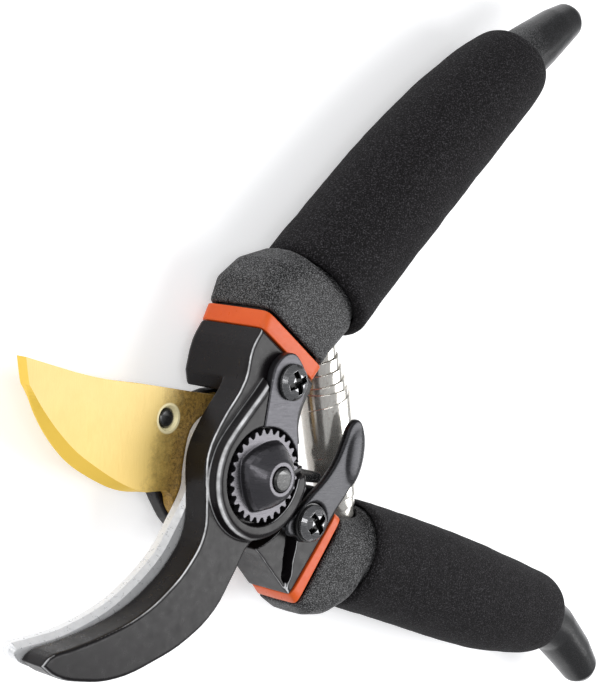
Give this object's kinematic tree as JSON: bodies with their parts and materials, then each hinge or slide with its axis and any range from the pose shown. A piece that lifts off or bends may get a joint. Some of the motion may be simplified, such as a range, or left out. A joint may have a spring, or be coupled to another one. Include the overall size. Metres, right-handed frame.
{
  "type": "pruning shears",
  "caption": "Bypass pruning shears: a coated curved blade passes a hook with a steel anvil plate; volute spring, swinging lock lever, foam-covered handles.",
  "frame": {"origin": "on the pivot axis, at the centre of the pivot bolt head's flat back face", "axes": "+Z along the pivot axis from the bolt head towards the adjusting nut; +X from the pivot towards the jaw tips, midway between the two open tips; +Y to the hook side"},
  "size_m": [0.196, 0.1755, 0.0296],
  "materials": {
    "hook_forging": "satin black paint on forged metal",
    "anvil_steel": "ground steel, bright edge",
    "lock_plate_steel": "black oxide, satin",
    "lock_screw_steel": "black oxide",
    "nut_steel": "black oxide, satin",
    "bolt_steel": "black oxide",
    "upper_band_paint": "satin orange",
    "upper_sleeve_vinyl": "pebbled vinyl coating",
    "upper_foam": "fine closed-cell foam",
    "upper_peg_steel": "plain steel",
    "lever_forging": "satin black paint on forged metal",
    "blade_titanium": "gold titanium-nitride coating, brushed",
    "blade_screw_steel": "black oxide",
    "lower_band_paint": "satin orange",
    "lower_sleeve_vinyl": "pebbled vinyl coating",
    "lower_foam": "fine closed-cell foam",
    "lower_peg_steel": "plain steel",
    "stop_rubber": "moulded rubber",
    "spring_chrome": "polished plated strip",
    "lever_screw_steel": "black oxide",
    "washer_steel": "black oxide",
    "lever_steel": "satin black"
  },
  "bodies": {
    "hook_side": {"hook_handle": "hook_forging", "anvil_plate": "anvil_steel", "lock_plate": "lock_plate_steel", "lock_plate_screw": "lock_screw_steel", "adjusting_nut": "nut_steel", "pivot_bolt": "bolt_steel", "upper_band": "upper_band_paint", "upper_sleeve": "upper_sleeve_vinyl", "upper_grip": "upper_foam", "upper_spring_peg": "upper_peg_steel"},
    "blade_side": {"blade_handle": "lever_forging", "cutting_blade": "blade_titanium", "blade_screw": "blade_screw_steel", "lower_band": "lower_band_paint", "lower_sleeve": "lower_sleeve_vinyl", "lower_grip": "lower_foam", "lower_spring_peg": "lower_peg_steel", "stop_bumper": "stop_rubber", "spring": "spring_chrome", "lever_screw": "lever_screw_steel", "lever_washer": "washer_steel"},
    "lock_lever": {"lock_lever": "lever_steel"}
  },
  "joints": [
    {"name": "main_pivot", "type": "hinge", "parent": "hook_side", "child": "blade_side", "pos_m": [0, 0, 0.0118], "axis": [0, 0, 1], "range_deg": [0, 50], "stiffness_Nm_per_rad": 0.9, "springref_deg": -11.46, "deforming": ["spring"]},
    {"name": "lock_lever_pivot", "type": "hinge", "parent": "blade_side", "child": "lock_lever", "pos_m": [-0.0152, 0.0117, 0.0218], "axis": [0, 0, 1], "range_deg": [-42, 0]}
  ]
}
